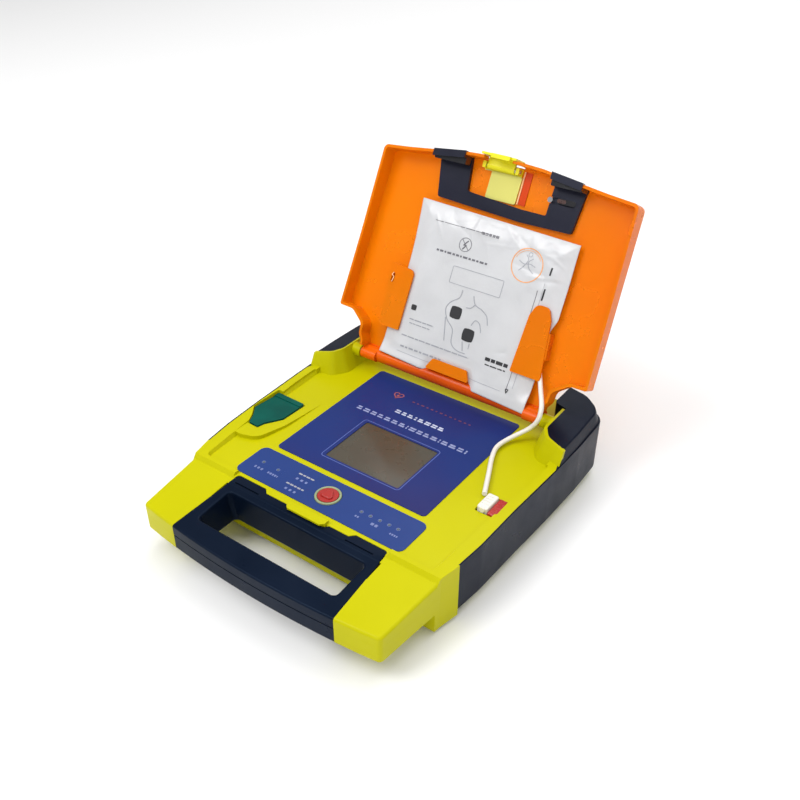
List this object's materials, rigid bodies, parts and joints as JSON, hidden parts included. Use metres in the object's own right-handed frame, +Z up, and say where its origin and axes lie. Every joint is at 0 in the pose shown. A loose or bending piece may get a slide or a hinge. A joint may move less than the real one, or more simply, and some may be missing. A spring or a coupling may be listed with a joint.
{
  "type": "defibrillator",
  "caption": "Portable automated external defibrillator with a hinged amber lid, pads pouch and plugged lead, push button, display, carry handle and side bumpers.",
  "frame": {"origin": "centre of the footprint of the open device, on the surface that its feet stand on", "axes": "+X to the right of a user who faces the controls, +Y from the carry handle to the hinge, +Z up"},
  "size_m": [0.2644, 0.3549, 0.2519],
  "materials": {
    "case_yellow": "satin moulded polycarbonate blend, fine spark texture",
    "bumper_navy": "satin overmoulded elastomer",
    "handle_navy": "satin moulded plastic",
    "lid_amber": "gloss, slightly translucent tinted plastic",
    "trim_navy": "satin",
    "latch_yellow": "satin",
    "magnet_metal": "polished",
    "pouch_foil": "heat sealed laminate, wrinkled, glossy",
    "label_blue": "satin polyester overlay",
    "strip_print": "satin polyester overlay",
    "display_grey": "hard coated window",
    "lcd_module": "satin",
    "bezel_grey": "satin",
    "button_red": "satin",
    "steel": "plated",
    "rubber_black": "matt",
    "port_green": "satin elastomer",
    "socket_red": "satin",
    "plug_white": "satin",
    "lead_white": "satin",
    "board_green": "solder mask",
    "part_black": "satin",
    "can_blue": "sleeved can",
    "light_pipe": "clear",
    "wire_black": "satin"
  },
  "bodies": {
    "case": {"upper_case": "case_yellow", "lower_case": "case_yellow", "carry_handle": "handle_navy", "handle_screws": "steel", "bumper_left": "bumper_navy", "bumper_right": "bumper_navy", "case_seal": "rubber_black", "case_screws": "steel", "rubber_feet": "rubber_black", "label_panel": "label_blue", "control_strip": "strip_print", "display_window": "display_grey", "display_module": "lcd_module", "button_bezel": "bezel_grey", "button_switch": "part_black", "button_spring": "steel", "keypad_board": "board_green", "indicator_light_pipes": "light_pipe", "data_port": "part_black", "pads_socket": "socket_red", "pads_plug": "plug_white", "pads_lead": "lead_white", "main_board": "board_green", "board_screws": "steel", "hv_capacitor": "can_blue", "capacitor_clamp": "steel", "charging_transformer": "part_black", "output_module": "part_black", "discharge_relay": "part_black", "battery_pack": "part_black", "battery_cover": "case_yellow", "speaker": "part_black", "reed_switch": "part_black", "battery_harness": "wire_black", "capacitor_harness": "wire_black", "speaker_harness": "wire_black"},
    "lid": {"lid_shell": "lid_amber", "hinge_pin_left": "steel", "hinge_pin_right": "steel", "lid_trim": "trim_navy", "lid_magnet": "magnet_metal", "pouch_clip_left": "lid_amber", "pouch_clip_right": "lid_amber", "pouch_clip_bottom": "lid_amber", "pads_pouch": "pouch_foil", "latch_bracket": "latch_yellow", "latch_pin": "steel", "latch_spring": "steel"},
    "latch": {"latch_lever": "latch_yellow"},
    "shock_button": {"shock_button": "button_red"},
    "port_cover": {"port_cover": "port_green"}
  },
  "joints": [
    {"name": "lid_hinge", "type": "hinge", "parent": "case", "child": "lid", "pos_m": [0, 0.0824, 0.0667], "axis": [1, 0, 0], "range_deg": [0, 117], "deforming": ["pads_lead"]},
    {"name": "latch_pivot", "type": "hinge", "parent": "lid", "child": "latch", "pos_m": [0, 0.16786, 0.23729], "axis": [-1, 0, 0], "range_deg": [0, 12], "stiffness_Nm_per_rad": 0.02},
    {"name": "shock_button_travel", "type": "slide", "parent": "case", "child": "shock_button", "axis": [0, 0, -1], "range_m": [0, 0.0016], "stiffness_N_per_m": 400, "springref_m": -0.0004, "deforming": ["button_spring"]},
    {"name": "port_cover_hinge", "type": "hinge", "parent": "case", "child": "port_cover", "pos_m": [-0.11, -0.0028, 0.05282], "axis": [1, 0, 0], "range_deg": [-90, 0], "deforming": ["port_cover"]}
  ]
}
